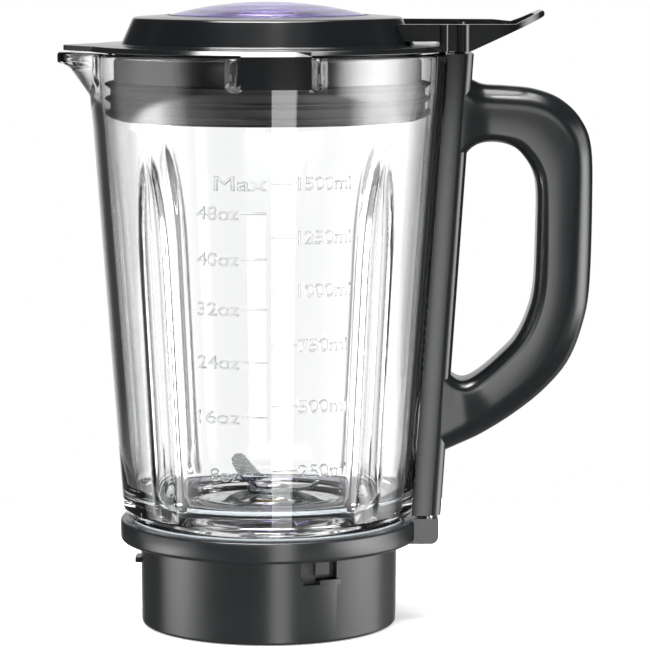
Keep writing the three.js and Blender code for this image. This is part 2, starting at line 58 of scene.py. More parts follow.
NECK = 46.0
MOUTH = 36.5

RIB_AZIMUTH = math.radians(42.2)
RIB_LOW, RIB_TOP = 50.0, 193.5
OUTER_RIB, INNER_RIB = (6.5, 3.6), (9.5, 4.4)
SPOUT_HALF = math.radians(21)
SPINE_SLOPE = 0.0669
SPINE_TOP = (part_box("handle_shell")[1].z - STAND) / MM
SPINE_OUTER = 83.9
SPINE_BOTTOM = 45.8
HALF_DEPTH = 13.0
CHANNEL_HALF = 10.2
SPINE_WALL = 3

FLANGE_RADIUS = 61.5
FLANGE_TOP = 43.5
FLANGE_BOTTOM = 34.8
SKIRT = 53.2

# The bayonet windows: their ends in degrees from +X, the ledge inside and the blade holder's lug in them.
WINDOW = (285, 302)
WINDOW_LOW, WINDOW_TOP = 26.4, 34.6
NOTCH_LOW = 24.2
LEDGE_FROM = 292.8
LUG_CENTRE, LUG_HALF = 295.3, 3.4
THIRDS = (0, 120, 240)

BLADE_THICK = 1.6
TOOTH_DEPTH = 0.65
LOWER_SEAT, UPPER_SEAT = 51.2, 53.6
UPPER_ARM_AZIMUTH = 94

LID_UNDERSIDE = 236.8
TAB_FOOT = 224.1
TAB_INNER, TAB_OUTER = 74.25, 76.9
ARM_HALF = 20
REAR_WALL_RISE = 1.4
CAP_APEX = (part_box("filler_cap")[1].z - STAND) / MM
CAP_THICK = 2.6

MARK_HEIGHT = 5.3
MARK_LIFT = 0.38
GRIP_DEPTH = 11.8

# In metres: points nearer than this are merged, and how deep the relief on the finishes is.
MERGE = 2e-6
GRAIN_DEPTH = 0.00003
BRUSH_DEPTH = 0.00001
RIPPLE_DEPTH = 0.0001
SCENE = bpy.context.scene


def at(x, y, height):
    return Vector((x * MM, y * MM, STAND + height * MM))


def clamp(value, low=0.0, high=1.0):
    return max(low, min(high, value))


def ramp(value, start, end):
    return clamp((value - start) / (end - start))


def smooth(value, start, end):
    t = ramp(value, start, end)
    return t * t * (3 - 2 * t)


# ---------------------------------------------------------------- mesh helpers


def rounded(corners, closed=True, steps=5):
    """An outline whose corners are (across, along, fillet radius), with each fillet as an arc."""
    points = []
    count = len(corners)
    for i, (x, z, radius) in enumerate(corners):
        here = Vector((x, z))
        if not radius or (not closed and i in (0, count - 1)):
            points.append(here)
            continue
        before = Vector(corners[i - 1][:2]) - here
        after = Vector(corners[(i + 1) % count][:2]) - here
        half = before.angle(after) / 2
        run = min(radius / math.tan(half), before.length * 0.49, after.length * 0.49)
        real = run * math.tan(half)
        start = here + before.normalized() * run
        end = here + after.normalized() * run
        middle = (before.normalized() + after.normalized()).normalized()
        centre = here + middle * (real / math.sin(half))
        first, last = start - centre, end - centre
        turn = first.angle(last)
        for k in range(steps + 1):
            t = k / steps
            spoke = first * math.sin((1 - t) * turn) + last * math.sin(t * turn)
            points.append(centre + spoke / math.sin(turn))
    return points


def cleaned(bm):
    bmesh.ops.remove_doubles(bm, verts=bm.verts, dist=MERGE)
    bmesh.ops.dissolve_degenerate(bm, edges=bm.edges, dist=MERGE / 4)
    bmesh.ops.recalc_face_normals(bm, faces=bm.faces)
    return bm


def spun(outline, steps, closed=True):
    """The outline of (radius, height) points, turned once round the blade axis."""
    bm = bmesh.new()
    verts = [bm.verts.new(at(x, 0, z)) for x, z in outline]
    edges = [bm.edges.new(pair) for pair in zip(verts, verts[1:])]
    if closed:
        edges.append(bm.edges.new((verts[-1], verts[0])))
    bmesh.ops.spin(
        bm,
        geom=verts + edges,
        axis=(0, 0, 1),
        cent=(0, 0, 0),
        angle=math.tau,
        steps=steps,
        use_merge=True,
    )
    return cleaned(bm)


def loop_of(bm, points):
    verts = [bm.verts.new(point) for point in points]
    return [bm.edges.new((verts[i - 1], verts[i])) for i in range(len(verts))]


def lofted(sections):
    """A solid through closed sections with the same number of points each."""
    bm = bmesh.new()
    loops = [loop_of(bm, section) for section in sections]
    for near, far in zip(loops, loops[1:]):
        bmesh.ops.bridge_loops(bm, edges=near + far)
    bmesh.ops.holes_fill(bm, edges=loops[0] + loops[-1], sides=0)
    return cleaned(bm)


def rod(x, y, low, high, radius, segments):
    """An upright cylinder, or a prism where segments are few."""
    bm = bmesh.new()
    bmesh.ops.create_cone(
        bm,
        cap_ends=True,
        segments=segments,
        radius1=radius * MM,
        radius2=radius * MM,
        depth=(high - low) * MM,
        matrix=Matrix.Translation(at(x, y, (low + high) / 2)),
    )
    return bm


def slab(outline, low, high, plane="XZ"):
    """An outline extruded from low to high along the axis that its plane leaves out."""
    bm = bmesh.new()
    place = {
        "XZ": lambda a, b, c: at(a, c, b),
        "XY": lambda a, b, c: at(a, b, c),
    }[plane]
    verts = [bm.verts.new(place(a, b, low)) for a, b in outline]
    face = bm.faces.new(verts)
    made = bmesh.ops.extrude_face_region(bm, geom=[face])
    moved = [item for item in made["geom"] if isinstance(item, bmesh.types.BMVert)]
    bmesh.ops.translate(bm, verts=moved, vec=place(0, 0, high) - place(0, 0, low))
    return cleaned(bm)


def turned(bm, degrees):
    """Turns all of bm round the blade axis."""
    turn = Matrix.Rotation(math.radians(degrees), 3, "Z")
    bmesh.ops.rotate(bm, verts=bm.verts, cent=(0, 0, 0), matrix=turn)


def scored(bm, x):
    """Cuts the faces of bm along the plane at x, and keeps both sides."""
    geometry = list(bm.verts) + list(bm.edges) + list(bm.faces)
    bmesh.ops.bisect_plane(bm, geom=geometry, plane_co=(x * MM, 0, 0), plane_no=(1, 0, 0), dist=1e-7)


def joined(*parts):
    """Several solids in one mesh, left apart."""
    whole = parts[0]
    for part in parts[1:]:
        mesh = bpy.data.meshes.new("part")
        part.to_mesh(mesh)
        part.free()
        whole.from_mesh(mesh)
        bpy.data.meshes.remove(mesh)
    return whole


def loose_object(bm, name):
    mesh = bpy.data.meshes.new(name)
    bm.to_mesh(mesh)
    bm.free()
    shown = bpy.data.objects.new(name, mesh)
    SCENE.collection.objects.link(shown)
    return shown


def combined(bm, tool, operation):
    """bm with the tool's solid taken away (DIFFERENCE), added (UNION) or kept in common (INTERSECT)."""
    first = loose_object(bm, "first")
    second = loose_object(tool, "second")
    modifier = first.modifiers.new("combine", "BOOLEAN")
    modifier.operation = operation
    modifier.solver = "EXACT"
    modifier.object = second
    graph = bpy.context.evaluated_depsgraph_get()
    mesh = bpy.data.meshes.new_from_object(first.evaluated_get(graph))
    result = bmesh.new()
    result.from_mesh(mesh)
    for leftover in (first, second):
        old = leftover.data
        bpy.data.objects.remove(leftover)
        bpy.data.meshes.remove(old)
    bpy.data.meshes.remove(mesh)
    return cleaned(result)


def piece(name, bm, finish, body, stands_for=(), bevel=0.0, segments=3, sharp=35):
    """Puts a finished mesh in the scene, on its body, with its finish."""
    shown = loose_object(bm, name)
    mesh = shown.data
    mesh.materials.append(finish)
    for polygon in mesh.polygons:
        polygon.use_smooth = True
    mesh.set_sharp_from_angle(angle=math.radians(sharp))
    if bevel:
        modifier = shown.modifiers.new("edges", "BEVEL")
        modifier.width = bevel * MM
        modifier.segments = segments
        modifier.limit_method = "ANGLE"
        modifier.angle_limit = math.radians(sharp)
        modifier.harden_normals = True
        modifier.use_clamp_overlap = True
    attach(shown, body)
    if stands_for:
        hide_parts(*stands_for)


# ---------------------------------------------------------------- materials


def shader_group(name, inputs, outputs, build):
    group = bpy.data.node_groups.new(name, "ShaderNodeTree")
    for label, kind, value in inputs:
        socket = group.interface.new_socket(label, in_out="INPUT", socket_type=kind)
        socket.default_value = value
    for label, kind in outputs:
        group.interface.new_socket(label, in_out="OUTPUT", socket_type=kind)
    build(group.nodes, group.links, group.nodes.new("NodeGroupInput"), group.nodes.new("NodeGroupOutput"))
    return group


def vary(nodes, links, given, result, noise):
    """Lets the roughness and the tint drift with a noise, between the group's own limits."""
    drift = nodes.new("ShaderNodeMapRange")
    drift.inputs["From Min"].default_value = 0.3
    drift.inputs["From Max"].default_value = 0.7
    links.new(noise.outputs["Fac"], drift.inputs["Value"])
    links.new(given.outputs["Smoothest"], drift.inputs["To Min"])
    links.new(given.outputs["Roughest"], drift.inputs["To Max"])
    tint = nodes.new("ShaderNodeMix")
    tint.data_type = "RGBA"
    links.new(noise.outputs["Fac"], tint.inputs["Factor"])
    links.new(given.outputs["Dark colour"], tint.inputs["A"])
    links.new(given.outputs["Light colour"], tint.inputs["B"])
    links.new(tint.outputs["Result"], result.inputs["Colour"])
    links.new(drift.outputs["Result"], result.inputs["Roughness"])


def build_grain(nodes, links, given, result):
    """Moulded grain: a fine relief, and a slow drift that makes the sheen uneven."""
    place = nodes.new("ShaderNodeTexCoord")
    fine = nodes.new("ShaderNodeTexNoise")
    fine.inputs["Detail"].default_value = 3
    slow = nodes.new("ShaderNodeTexNoise")
    slow.inputs["Scale"].default_value = 14
    slow.inputs["Detail"].default_value = 4
    links.new(place.outputs["Object"], fine.inputs["Vector"])
    links.new(place.outputs["Object"], slow.inputs["Vector"])
    links.new(given.outputs["Grain scale"], fine.inputs["Scale"])
    links.new(fine.outputs["Fac"], result.inputs["Height"])
    vary(nodes, links, given, result, slow)


def build_brushing(nodes, links, given, result):
    """Fine lines that run round or along a metal part."""
    place = nodes.new("ShaderNodeTexCoord")
    stretch = nodes.new("ShaderNodeVectorMath")
    stretch.operation = "MULTIPLY"
    links.new(place.outputs["Object"], stretch.inputs[0])
    links.new(given.outputs["Stretch"], stretch.inputs[1])
    lines = nodes.new("ShaderNodeTexNoise")
    lines.inputs["Scale"].default_value = 1
    lines.inputs["Detail"].default_value = 4
    links.new(stretch.outputs["Vector"], lines.inputs["Vector"])
    links.new(lines.outputs["Fac"], result.inputs["Height"])
    vary(nodes, links, given, result, lines)


FLOAT, COLOUR, VECTOR = "NodeSocketFloat", "NodeSocketColor", "NodeSocketVector"
BLACK = (0, 0, 0, 1)
RESULTS = [("Colour", COLOUR), ("Roughness", FLOAT), ("Height", FLOAT)]
SPREAD = [("Smoothest", FLOAT, 0.3), ("Roughest", FLOAT, 0.5)]
TONES = [("Dark colour", COLOUR, BLACK), ("Light colour", COLOUR, BLACK)]
GRAIN_INPUTS = [("Grain scale", FLOAT, 2000), *SPREAD, *TONES]
LINE_INPUTS = [("Stretch", VECTOR, (1, 1, 1)), *SPREAD, *TONES]
MOULDED_GRAIN = shader_group("moulded grain", GRAIN_INPUTS, RESULTS, build_grain)
BRUSHED_LINES = shader_group("brushed lines", LINE_INPUTS, RESULTS, build_brushing)


def blank_material(name):
    made = bpy.data.materials.new(name)
    made.use_nodes = True
    return made, made.node_tree.nodes, made.node_tree.links, made.node_tree.nodes["Principled BSDF"]


def set_values(node, values):
    for label, value in values.items():
        node.inputs[label].default_value = value


def grouped_material(name, group, settings, strength, depth, metallic):
    """A Principled finish whose colour, roughness and relief come from a group."""
    made, nodes, links, shader = blank_material(name)
    surface = nodes.new("ShaderNodeGroup")
    surface.node_tree = group
    set_values(surface, settings)
    bump = nodes.new("ShaderNodeBump")
    bump.inputs["Strength"].default_value = strength
    bump.inputs["Distance"].default_value = depth
    links.new(surface.outputs["Colour"], shader.inputs["Base Color"])
    links.new(surface.outputs["Roughness"], shader.inputs["Roughness"])
    links.new(surface.outputs["Height"], bump.inputs["Height"])
    links.new(bump.outputs["Normal"], shader.inputs["Normal"])
    set_values(shader, {"Metallic": metallic})
    return made


def limits(dark, light, smoothest, roughest):
    """What both groups take: the two tints and the two roughnesses that a finish drifts between."""
    return {
        "Dark colour": dark + (1,),
        "Light colour": light + (1,),
        "Smoothest": smoothest,
        "Roughest": roughest,
    }


def moulded(name, dark, light, smoothest, roughest, grain=2200):
    settings = {"Grain scale": grain, **limits(dark, light, smoothest, roughest)}
    return grouped_material(name, MOULDED_GRAIN, settings, 0.35, GRAIN_DEPTH, 0.0)


def brushed(name, dark, light, smoothest, roughest, stretch):
    settings = {"Stretch": stretch, **limits(dark, light, smoothest, roughest)}
    return grouped_material(name, BRUSHED_LINES, settings, 0.3, BRUSH_DEPTH, 1.0)


def clear(name, colour, deep_colour, ior, roughness, edge_shade_colour=None, solid=0.0):
    """Clear glass or plastic: faint ripples, a slow change of tint, and light let through to what is inside.
    An edge shade colour paints shade on faces that are seen edge-on, and solid is the share that lets no
    light through."""
    made, nodes, links, shader = blank_material(name)
    place = nodes.new("ShaderNodeTexCoord")
    waves = nodes.new("ShaderNodeTexNoise")
    waves.inputs["Scale"].default_value = 28
    waves.inputs["Detail"].default_value = 1
    links.new(place.outputs["Object"], waves.inputs["Vector"])
    tint = nodes.new("ShaderNodeMix")
    tint.data_type = "RGBA"
    tint.inputs["A"].default_value = colour + (1,)
    tint.inputs["B"].default_value = deep_colour + (1,)
    links.new(waves.outputs["Fac"], tint.inputs["Factor"])
    shown = tint.outputs["Result"]
    # Painted shade: faces seen edge-on are mixed towards a darker colour, as if shaded.
    if edge_shade_colour:
        edge_on = nodes.new("ShaderNodeLayerWeight")
        edge_on.inputs["Blend"].default_value = 0.35
        edge_shade_mix = nodes.new("ShaderNodeMix")
        edge_shade_mix.data_type = "RGBA"
        edge_shade_mix.inputs["B"].default_value = edge_shade_colour + (1,)
        links.new(shown, edge_shade_mix.inputs["A"])
        links.new(edge_on.outputs["Facing"], edge_shade_mix.inputs["Factor"])
        shown = edge_shade_mix.outputs["Result"]
    links.new(shown, shader.inputs["Base Color"])
    bump = nodes.new("ShaderNodeBump")
    bump.inputs["Strength"].default_value = 0.25
    bump.inputs["Distance"].default_value = RIPPLE_DEPTH
    links.new(waves.outputs["Fac"], bump.inputs["Height"])
    links.new(bump.outputs["Normal"], shader.inputs["Normal"])
    set_values(shader, {"Roughness": roughness, "IOR": ior})
    set_values(shader, {"Transmission Weight": 1.0 - solid, "Metallic": 0.0})
    path = nodes.new("ShaderNodeLightPath")
    through = nodes.new("ShaderNodeBsdfTransparent")
    through.inputs["Color"].default_value = colour + (1,)
    mix = nodes.new("ShaderNodeMixShader")
    links.new(path.outputs["Is Shadow Ray"], mix.inputs[0])
    links.new(shader.outputs[0], mix.inputs[1])
    links.new(through.outputs[0], mix.inputs[2])
    links.new(mix.outputs[0], nodes["Material Output"].inputs["Surface"])
    return made


jug_glass = clear("jug glass", (0.998, 1.0, 0.999), (0.99, 0.998, 0.996), 1.5, 0.0)
# The scale's raised letters get painted shade on their edge-on faces, from the third colour given here.
scale_glass = clear("scale glass", (0.99, 1.0, 0.995), (0.97, 0.985, 0.98), 1.5, 0.0, (0.3, 0.33, 0.33))
cap_plastic = clear("purple cap plastic", (0.54, 0.47, 0.76), (0.46, 0.39, 0.7), 1.49, 0.02, solid=0.05)
handle_plastic = moulded("handle plastic", (0.004, 0.0048, 0.0052), (0.006, 0.007, 0.0075), 0.18, 0.24)
lid_plastic = moulded("lid plastic", (0.002, 0.0024, 0.0028), (0.0034, 0.0038, 0.0042), 0.13, 0.19, 1500)
collar_coat = moulded("collar plastic", (0.007, 0.008, 0.0085), (0.01, 0.011, 0.0115), 0.2, 0.27, 3000)
holder_plastic = moulded("holder plastic", (0.016, 0.017, 0.019), (0.03, 0.031, 0.033), 0.4, 0.6)
rubber = moulded("seal rubber", (0.002, 0.002, 0.0024), (0.006, 0.006, 0.0065), 0.5, 0.7, 900)
silicone = moulded("gasket silicone", (0.13, 0.145, 0.15), (0.17, 0.185, 0.19), 0.4, 0.55, 900)
blade_steel = brushed("blade steel", (0.15, 0.16, 0.16), (0.22, 0.23, 0.23), 0.2, 0.32, (300, 2500, 2500))
bright_steel = brushed("turned steel", (0.55, 0.56, 0.56), (0.72, 0.73, 0.73), 0.06, 0.16, (400, 400, 5000))
spring_steel = brushed("spring wire", (0.35, 0.35, 0.36), (0.5, 0.5, 0.51), 0.25, 0.4, (900, 900, 900))
bronze = brushed("bearing bronze", (0.2, 0.125, 0.06), (0.28, 0.18, 0.09), 0.3, 0.5, (1500, 1500, 1500))


# ---------------------------------------------------------------- glass jug


def wall_radius(height):
    """Outer radius of the plain glass wall: a cone up to the shoulder, then a curve out to the rim."""
    if height <= SHOULDER:
        return FOOT_RADIUS + (SHOULDER_RADIUS - FOOT_RADIUS) * (height - FOOT) / (SHOULDER - FOOT)
    rise = (height - SHOULDER) / (RIM - SHOULDER)
    return SHOULDER_RADIUS + (RIM_RADIUS - SHOULDER_RADIUS) * math.sin(rise * math.pi / 2)


def rib_push(azimuth, height, radius, width, depth, crisp):
    """How far the wall is pushed in by the stirring ribs: a channel with a pointed top and a round foot,
    whose width is counted from its middle. The outside has crisp edges, the inside soft ones."""
    half = width * math.sqrt(1 - ramp(height, 150, RIB_TOP) ** 2)
    half *= math.sqrt(1 - (1 - ramp(height, RIB_LOW, RIB_LOW + width)) ** 2)
    if half <= 0.3:
        return 0.0
    from_rib = abs(math.asin(abs(math.sin(azimuth))) - (math.pi / 2 - RIB_AZIMUTH)) * radius
    across = clamp(from_rib / half)
    dip = 1 - across**2 if crisp else math.cos(across * math.pi / 2) ** 2
    return depth * min(1.0, half / width) * dip


def spout_reach(azimuth, height, outside):
    """How far the spout pushes the wall out: a trough that widens upwards, with a lip on the outside."""
    from_spout = math.pi - abs(azimuth)
    if from_spout > SPOUT_HALF:
        return 0.0
    across = math.cos(from_spout / SPOUT_HALF * math.pi / 2) ** 1.6
    if outside:
        return across * (8.1 * ramp(height, 218.5, 230.6) + 4.4 * smooth(height, 230.2, 231.8))
    return across * 12.2 * smooth(height, 214, RIM + 4)


def lug_push(azimuth, height, radius):
    """Ridges beside the lid's tabs, and the lugs that the spine hooks onto."""
    push = 0.0
    x, y = radius * math.cos(azimuth), radius * math.sin(azimuth)
    side = x if y < 0 else -x
    for near, far in ((-14.1, -9.6), (18.8, 22.6)):
        across = smooth(side, near - 0.6, near + 0.6) * (1 - smooth(side, far - 0.6, far + 0.6))
        if abs(y) > 60:
            push = max(push, 3.0 * across * smooth(height, 223.6, 225))
    for low, high in ((74, 93), (204, 218)):
        across = smooth(abs(y), 4.4, 5.4) * (1 - smooth(abs(y), 8.4, 9.4))
        if x > 50:
            up = smooth(height, low, low + 1.2) * (1 - smooth(height, high - 1.2, high))
            push = max(push, 3.4 * across * up)
    return push


def glass_jug():
    heights = [FOOT + i * (SHOULDER - FOOT) / 34 for i in range(35)]
    upper = [SHOULDER + i * (RIM - 3 - SHOULDER) / 22 for i in range(1, 23)]
    outer = [(wall_radius(z), z, 0) for z in heights[1:] + upper]
    inner = [(wall_radius(z) - WALL, z, 0) for z in reversed(heights[3:] + upper)]
    corners = [
        (MOUTH, 30, 1),
        (NECK, 30, 1),
        (NECK, GLASS_BOTTOM, 0.6),
        (wall_radius(GLASS_BOTTOM), GLASS_BOTTOM, 5.5),
        *outer,
        (RIM_RADIUS, RIM, 2.0),
        (RIM_RADIUS - WALL, RIM, 2.0),
        *inner,
        (wall_radius(GLASS_FLOOR) - WALL - 0.6, GLASS_FLOOR, 9),
        (MOUTH, GLASS_FLOOR, 2.5),
    ]
    bm = spun(rounded(corners, steps=8), steps=400)
    for vert in bm.verts:
        radius = math.hypot(vert.co.x, vert.co.y) / MM
        height = (vert.co.z - STAND) / MM
        azimuth = math.atan2(vert.co.y, vert.co.x)
        if radius < wall_radius(height) - WALL - 3 or height < GLASS_BOTTOM + 1:
            continue
        outside = radius > wall_radius(height) - WALL / 2
        change = spout_reach(azimuth, height, outside)
        if outside:
            change += lug_push(azimuth, height, radius) - rib_push(azimuth, height, radius, *OUTER_RIB, True)
        else:
            change -= rib_push(azimuth, height, radius, *INNER_RIB, False)
        scale = (radius + change) / radius
        vert.co.x *= scale
        vert.co.y *= scale
    piece("glass_body", cleaned(bm), jug_glass, "jug", ["glass_jug"], sharp=180)


def wrapped_mark(bm, x, height):
    """Lays a flat mesh in its XY plane, in millimetres, on the front of the glass at x and height."""
    for vert in bm.verts:
        z = height + vert.co.y
        radius = wall_radius(z) + MARK_LIFT + vert.co.z
        azimuth = -math.pi / 2 + (x + vert.co.x) / radius
        vert.co = at(radius * math.cos(azimuth), radius * math.sin(azimuth), z)
    return bm


def lettering(words, x, height, width, to_the_right, tall=MARK_HEIGHT):
    """Raised figures of the scale that start or end at x and are as wide as width."""
    curve = bpy.data.curves.new(words, "FONT")
    curve.body = words
    curve.size = tall / 0.72
    curve.offset = -0.24
    curve.extrude = 0.03
    curve.bevel_depth = 0.32
    curve.bevel_resolution = 3
    curve.resolution_u = 6
    holder = bpy.data.objects.new(words, curve)
    SCENE.collection.objects.link(holder)
    graph = bpy.context.evaluated_depsgraph_get()
    mesh = bpy.data.meshes.new_from_object(holder.evaluated_get(graph))
    bm = bmesh.new()
    bm.from_mesh(mesh)
    bpy.data.objects.remove(holder)
    bpy.data.curves.remove(curve)
    bpy.data.meshes.remove(mesh)
    bmesh.ops.remove_doubles(bm, verts=bm.verts, dist=1e-4)
    left = min(vert.co.x for vert in bm.verts)
    right = max(vert.co.x for vert in bm.verts)
    bmesh.ops.translate(bm, verts=bm.verts, vec=(-left, -tall / 2, 0))
    bmesh.ops.scale(bm, verts=bm.verts, vec=(width / (right - left), 1, 1))
    if not to_the_right:
        x -= width
    return wrapped_mark(bm, x, height)


def mark_line(start, end, height):
    bm = bmesh.new()
    bmesh.ops.create_cube(bm, size=1.0)
    bmesh.ops.scale(bm, vec=(end - start, 0.9, 0.6), verts=bm.verts)
    bmesh.ops.bevel(bm, geom=bm.edges, offset=0.26, segments=3, profile=0.5, affect="EDGES", material=-1)
    return wrapped_mark(bm, (start + end) / 2, height)


def scale_marks():
    marks = []
    litres = ((187.6, 1500), (166.3, 1250), (145.2, 1000), (123.3, 750), (98.7, 500), (72.5, 250))
    ounces = ((175.8, 48), (157.6, 40), (137.7, 32), (116.4, 24), (94.3, 16), (70.9, 8))
    for height, amount in litres:
        marks.append(mark_line(2.7, 12.4, height))
        width = 22.0 if amount >= 1000 else 20.4
        marks.append(lettering(f"{amount}ml", 13.0, height, width, True))
    for height, amount in ounces:
        marks.append(mark_line(-9.4, 0.4, height))
        width = 17.2 if amount > 8 else 12.2
        marks.append(lettering(f"{amount}oz", -10.4, height, width, False))
    marks.append(lettering("Max", 0.8, litres[0][0], 21.0, False, tall=5.9))
    piece("scale_marks", joined(*marks), scale_glass, "jug", sharp=60)


# ---------------------------------------------------------------- handle


def spine_outer(height):
    return SPINE_OUTER - (SPINE_TOP - height) * SPINE_SLOPE


def glass_edge(height, y):
    """Where the glass ends, just clear of it, in the plane at y."""
    return math.sqrt((wall_radius(min(height, RIM)) + 0.35) ** 2 - y * y)


def spine():
    sections = []
    stations = 14
    for i in range(stations + 1):
        height = SPINE_BOTTOM + (SPINE_TOP - SPINE_BOTTOM) * i / stations
        outer = spine_outer(height)
        edge, wall = glass_edge(height, HALF_DEPTH), glass_edge(height, CHANNEL_HALF)
        corners = [
            (edge, -HALF_DEPTH, 0.5),
            (outer, -HALF_DEPTH, 4.2),
            (outer, HALF_DEPTH, 4.2),
            (edge, HALF_DEPTH, 0.5),
            (wall, CHANNEL_HALF, 0.3),
            (outer - SPINE_WALL, CHANNEL_HALF, 1.2),
            (outer - SPINE_WALL, -CHANNEL_HALF, 1.2),
            (wall, -CHANNEL_HALF, 0.3),
        ]
        sections.append([at(x, y, height) for x, y in rounded(corners, steps=5)])
    channel = lofted(sections)
    near, far = glass_edge(SPINE_TOP, 10) + 0.2, SPINE_OUTER - 2.6
    plate = [(near, -10.6, 0.5), (far, -10.6, 2), (far, 10.6, 2), (near, 10.6, 0.5)]
    top = slab(rounded(plate), SPINE_TOP - 3.5, SPINE_TOP - 0.4, "XY")
    hole = [(74.9, -3.4, 1), (81.2, -3.4, 1), (81.2, 3.4, 1), (74.9, 3.4, 1)]
    rod_hole = slab(rounded(hole), SPINE_TOP - 6, SPINE_TOP + 3, "XY")
    return joined(channel, combined(top, rod_hole, "DIFFERENCE"))


# Outer and inner edge of the grip, station by station, from the top of the spine round to its foot.
GRIP_STATIONS = (
    ((78.0, 227.6), (78.0, 190.5)),
    ((83.6, 224.8), (82.6, 196.6)),
    ((88.5, 222.9), (87.6, 199.2)),
    ((97.5, 222.3), (94.6, 199.3)),
    ((109.1, 221.0), (100.8, 197.3)),
    ((119.6, 217.0), (105.2, 193.0)),
    ((127.9, 209.0), (108.6, 187.3)),
    ((132.4, 197.5), (110.2, 180.0)),
    ((133.1, 175.2), (110.2, 165.0)),
    ((132.3, 141.0), (109.4, 141.0)),
    ((129.6, 124.5), (106.6, 128.6)),
    ((123.6, 109.0), (101.8, 118.8)),
    ((113.5, 96.9), (95.3, 111.8)),
    ((100.7, 86.6), (88.0, 105.4)),
    ((88.4, 79.0), (81.6, 101.6)),
    ((79.0, 74.6), (77.0, 102.4)),
    ((70.5, 70.8), (72.0, 107.0)),
)


def spline(points, t):
    """A point at t, from 0 to 1, on the smooth curve through the points."""
    last = len(points) - 1
    place = clamp(t) * last
    i = min(int(place), last - 1)
    t = place - i
    p = [Vector(points[clamp(i + k, 0, last)]) for k in (-1, 0, 1, 2)]
    return 0.5 * (
        2 * p[1]
        + (p[2] - p[0]) * t
        + (2 * p[0] - 5 * p[1] + 4 * p[2] - p[3]) * t * t
        + (3 * p[1] - p[0] - 3 * p[2] + p[3]) * t**3
    )


def grip():
    sections = []
    count = 84
    outers = [station[0] for station in GRIP_STATIONS]
    inners = [station[1] for station in GRIP_STATIONS]
    for i in range(count + 1):
        outer, inner = spline(outers, i / count), spline(inners, i / count)
        middle, across = (outer + inner) / 2, (outer - inner) / 2
        half = across.length
        unit = across.normalized()
        depth = GRIP_DEPTH + (HALF_DEPTH - 0.2 - GRIP_DEPTH) * (1 - smooth(middle.x, 80.0, 91.0))
        corners = [
            (half, -depth, 9.5),
            (half, depth, 9.5),
            (-half, depth, 5.5),
            (-half, -depth, 5.5),
        ]
        section = []
        for along, y in rounded(corners, steps=8):
            spot = middle + unit * along
            section.append(at(spot.x, y, spot.y))
        sections.append(section)
    return lofted(sections)


def handle():
    body = joined(spine(), grip())
    piece("handle", body, handle_plastic, "jug", ["handle_shell"], bevel=0.5)


# ---------------------------------------------------------------- base collar and blade holder


def wedge(inner, outer, start, end, low, high):
    """A piece of a ring between two azimuths, in degrees from +X."""
    steps = 16
    angles = [math.radians(start + (end - start) * i / steps) for i in range(steps + 1)]
    outline = [(outer * math.cos(a), outer * math.sin(a)) for a in angles]
    outline += [(inner * math.cos(a), inner * math.sin(a)) for a in reversed(angles)]
    return slab(outline, low, high, "XY")


def base_collar():
    profile = rounded(
        [
            (50.3, 0, 0.4),
            (SKIRT - 0.4, 0, 1.4),
            (SKIRT, FLANGE_BOTTOM, 0.8),
            (FLANGE_RADIUS, FLANGE_BOTTOM, 1.6),
            (FLANGE_RADIUS, FLANGE_TOP, 1.0),
            (57.5, FLANGE_TOP, 0.4),
            (57.5, FLANGE_TOP - 1.1, 0.2),
            (NECK + 0.5, FLANGE_TOP - 1.1, 0.3),
            (NECK + 0.5, 34.6, 0.3),
            (50.3, 34.6, 0.5),
        ]
    )
    collar = spun(profile, steps=240)
    for turn in THIRDS:
        window = wedge(46.7, 60, WINDOW[0] + turn, WINDOW[1] + turn, WINDOW_LOW, WINDOW_TOP)
        collar = combined(collar, window, "DIFFERENCE")
        notch = wedge(46.7, 60, WINDOW[0] + 1.2 + turn, LEDGE_FROM + turn, NOTCH_LOW, 27)
        collar = combined(collar, notch, "DIFFERENCE")
    ledges = [
        wedge(50.8, 55.6, LEDGE_FROM + turn, WINDOW[1] + 0.3 + turn, NOTCH_LOW, WINDOW_LOW) for turn in THIRDS
    ]
    lug_outline = [(57.6, 34.0, 0.4), (70.2, 34.0, 3.2)]
    lug_outline += [(70.2, 44.5, 0.6), (61.5, 44.5, 0.3), (57.6, 43.0, 0.3)]
    lug = slab(rounded(lug_outline, steps=6), -HALF_DEPTH, HALF_DEPTH)
    slot = slab([(62.2, 41.5), (69.0, 41.5), (69.0, 47), (62.2, 47)], -4.5, 4.5)
    body = joined(collar, combined(lug, slot, "DIFFERENCE"), *ledges)
    piece("collar", body, collar_coat, "jug", ["base_collar"], bevel=0.35)


def blade_holder():
    profile = rounded(
        [
            (12.3, 13, 0.4),
            (16, 13, 0.6),
            (16, 42.6, 0.8),
            (31.5, 42.6, 0.8),
            (31.5, 24, 0.8),
            (43.5, 24, 0.8),
            (43.5, 9, 0.6),
            (46.5, 9, 0.6),
            (46.5, 21, 0.6),
            (49.9, 22.5, 0.5),
            (49.9, 34.1, 0.5),
            (46.9, 34.1, 0.5),
            (46.9, 28.6, 0.4),
            (34.5, 28.6, 0.5),
            (34.5, 45.6, 1.2),
            (12.3, 45.6, 0.3),
        ]
    )
    body = spun(profile, steps=180)
    lugs = [
        wedge(49.0, 52.5, LUG_CENTRE - LUG_HALF + turn, LUG_CENTRE + LUG_HALF + turn, 27.9, 34.0)
        for turn in THIRDS
    ]
    webs = []
    for i in range(6):
        web = slab([(15.6, 30), (31.8, 26), (31.8, 42.7), (15.6, 42.7)], -1.0, 1.0)
        turned(web, 60 * i + 30)
        webs.append(web)
    whole = joined(body, *lugs, *webs)
    piece("holder", whole, holder_plastic, "blade_unit", ["blade_holder"], bevel=0.25)


# ---------------------------------------------------------------- blade unit and spindle


